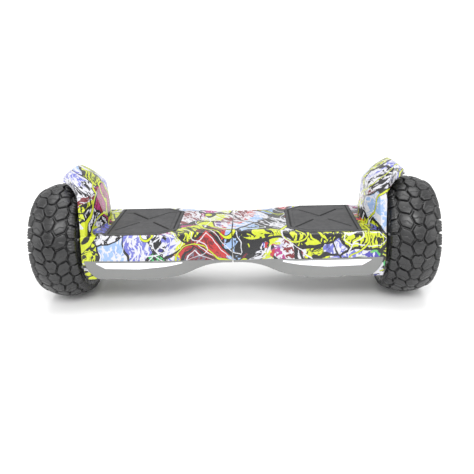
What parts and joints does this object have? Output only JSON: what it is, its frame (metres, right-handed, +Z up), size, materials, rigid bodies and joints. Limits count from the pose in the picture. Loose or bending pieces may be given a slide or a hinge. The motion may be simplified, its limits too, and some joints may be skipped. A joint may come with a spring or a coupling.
{
  "type": "self balancing hoverboard",
  "caption": "Two-wheel self balancing board with twisting halves, rubber foot pads, printed shells, lit front lamps and knobbly off-road tyres.",
  "frame": {"origin": "on the floor midway between the wheels, under the centre shaft", "axes": "+X along the axles from the left to the right half, front faces -Y, +Z up"},
  "size_m": [0.716, 0.216, 0.2495],
  "materials": {
    "pack_wrap": "shrink wrap over metal cell cans",
    "steel": "zinc plated",
    "black_plastic": "fine grain",
    "bronze": "sintered bronze",
    "cast_alloy": "as cast",
    "pad_rubber": "matt moulded rubber",
    "hub_alloy": "black anodised",
    "circuit_board": "solder mask",
    "lamp_lens": "frosted",
    "grey_shell": "satin silver-grey",
    "magnet_iron": "varnished laminations",
    "copper": "enamelled copper clad aluminium wire",
    "tyre": "matt black rubber",
    "printed_shell": "glossy printed film over moulded plastic",
    "cable_jacket": "jacketed bundle"
  },
  "bodies": {
    "left_half": {"battery_pack": "pack_wrap", "centre_shaft": "steel", "left_axle": "steel", "left_axle_clamp": "cast_alloy", "left_chassis": "cast_alloy", "left_clamp_bolts": "steel", "left_lamp_board": "circuit_board", "left_lamp_lens": "lamp_lens", "left_lower_shell": "grey_shell", "left_sensor_board": "circuit_board", "left_shell_screws": "steel", "left_stator_carrier": "cast_alloy", "left_stator_core": "magnet_iron", "left_stator_windings": "copper", "left_upper_shell": "printed_shell", "link_cable": "cable_jacket", "shaft_grub_screws": "steel", "shaft_retainer": "steel", "thrust_washer": "bronze"},
    "right_half": {"charge_socket": "black_plastic", "inner_bush": "bronze", "main_board": "circuit_board", "outer_bush": "bronze", "rear_panel": "black_plastic", "right_axle": "steel", "right_axle_clamp": "cast_alloy", "right_chassis": "cast_alloy", "right_clamp_bolts": "steel", "right_lamp_board": "circuit_board", "right_lamp_lens": "lamp_lens", "right_lower_shell": "grey_shell", "right_sensor_board": "circuit_board", "right_shell_screws": "steel", "right_stator_carrier": "cast_alloy", "right_stator_core": "magnet_iron", "right_stator_windings": "copper", "right_upper_shell": "printed_shell"},
    "left_wheel": {"left_hub_screws": "steel", "left_inner_bearing": "steel", "left_inner_hub_cover": "hub_alloy", "left_magnet_ring": "magnet_iron", "left_outer_bearing": "steel", "left_outer_hub_cover": "hub_alloy", "left_tyre": "tyre", "left_wheel_rim": "hub_alloy"},
    "right_wheel": {"right_hub_screws": "steel", "right_inner_bearing": "steel", "right_inner_hub_cover": "hub_alloy", "right_magnet_ring": "magnet_iron", "right_outer_bearing": "steel", "right_outer_hub_cover": "hub_alloy", "right_tyre": "tyre", "right_wheel_rim": "hub_alloy"},
    "left_foot_pad": {"left_foot_pad": "pad_rubber"},
    "right_foot_pad": {"right_foot_pad": "pad_rubber"},
    "power_button": {"power_button": "black_plastic"},
    "socket_cap": {"socket_cap": "pad_rubber"}
  },
  "joints": [
    {"name": "centre_twist", "type": "hinge", "parent": "left_half", "child": "right_half", "pos_m": [0, 0, 0.108], "axis": [1, 0, 0], "range_deg": [-10, 10]},
    {"name": "left_wheel_spin", "type": "hinge", "parent": "left_half", "child": "left_wheel", "pos_m": [-0.314, 0, 0.108], "axis": [1, 0, 0], "continuous": true},
    {"name": "right_wheel_spin", "type": "hinge", "parent": "right_half", "child": "right_wheel", "pos_m": [0.314, 0, 0.108], "axis": [1, 0, 0], "continuous": true},
    {"name": "left_pad_press", "type": "slide", "parent": "left_half", "child": "left_foot_pad", "axis": [0, 0, -1], "range_m": [0, 0.0015], "stiffness_N_per_m": 20000},
    {"name": "right_pad_press", "type": "slide", "parent": "right_half", "child": "right_foot_pad", "axis": [0, 0, -1], "range_m": [0, 0.0015], "stiffness_N_per_m": 20000},
    {"name": "power_button_press", "type": "slide", "parent": "right_half", "child": "power_button", "axis": [0, -1, 0], "range_m": [0, 0.001], "stiffness_N_per_m": 800},
    {"name": "socket_cap_hinge", "type": "hinge", "parent": "right_half", "child": "socket_cap", "pos_m": [0.163, 0.0785, 0.0735], "axis": [-1, 0, 0], "range_deg": [0, 85]}
  ]
}
